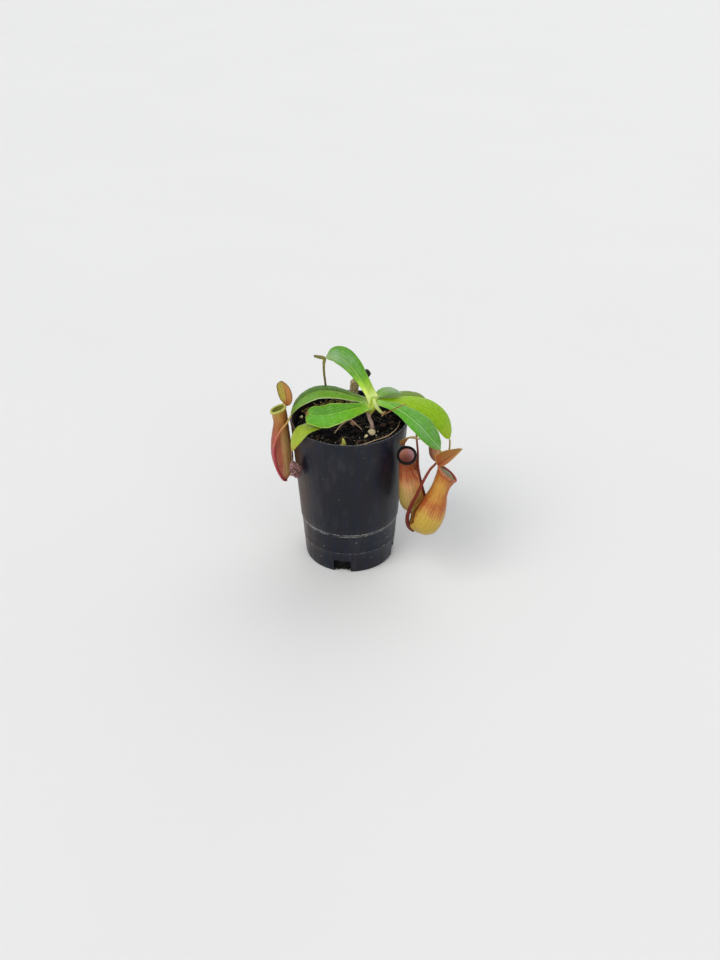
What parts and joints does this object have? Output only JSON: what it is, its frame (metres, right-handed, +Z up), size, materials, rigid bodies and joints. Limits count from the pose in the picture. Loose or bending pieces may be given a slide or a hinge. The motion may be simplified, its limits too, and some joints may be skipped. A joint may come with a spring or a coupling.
{
  "type": "potted pitcher plant",
  "caption": "Young tropical pitcher plant in a black plastic nursery tube pot, with glossy strap leaves and hanging lidded pitchers.",
  "frame": {"origin": "centre of the pot's flat base, on the surface it stands on", "axes": "+Z up along the pot; -Y is the front, the side seen in the picture; +X to the right of it"},
  "size_m": [0.1201, 0.0868, 0.1485],
  "materials": {
    "pot_plastic": "satin",
    "soil_mix": "matte",
    "leaf_green": "satin",
    "leaf_lime": "satin",
    "tendril": "satin",
    "pitcher_skin": "satin",
    "pitcher_lid": "satin",
    "lip_lime": "gloss",
    "lip_black": "gloss",
    "lip_red": "gloss",
    "dry_tissue": "matte",
    "woody": "matte"
  },
  "bodies": {
    "root": {"leaf_top": "leaf_green", "leaf_left": "leaf_green", "leaf_front_left": "leaf_green", "leaf_right_front": "leaf_green", "leaf_back_small": "leaf_green", "leaf_over_rim": "leaf_lime", "leaf_right_back": "leaf_lime", "leaf_back_olive": "leaf_lime", "leaf_young": "leaf_lime", "crown": "leaf_lime", "sprout": "leaf_lime", "tendril_young": "tendril", "tendril_left": "tendril", "tendril_middle": "tendril", "tendril_right": "tendril", "tendril_small": "tendril", "tendril_dry_top": "dry_tissue", "dried_pitcher_left": "dry_tissue", "old_pitcher_body": "dry_tissue", "old_pitcher_hood": "dry_tissue", "stem": "woody", "root_front": "woody", "root_centre": "woody", "pitcher_left_cup": "pitcher_skin", "pitcher_middle_cup": "pitcher_skin", "pitcher_right_cup": "pitcher_skin", "pitcher_small_cup": "pitcher_skin", "pitcher_left_lid": "pitcher_lid", "pitcher_middle_lid": "pitcher_lid", "pitcher_right_lid": "pitcher_lid", "pitcher_small_lid": "pitcher_lid", "pitcher_left_lip": "lip_lime", "pitcher_middle_lip": "lip_black", "pitcher_right_lip": "lip_red", "pitcher_small_lip": "lip_red", "pot": "pot_plastic", "soil": "soil_mix"}
  },
  "joints": []
}
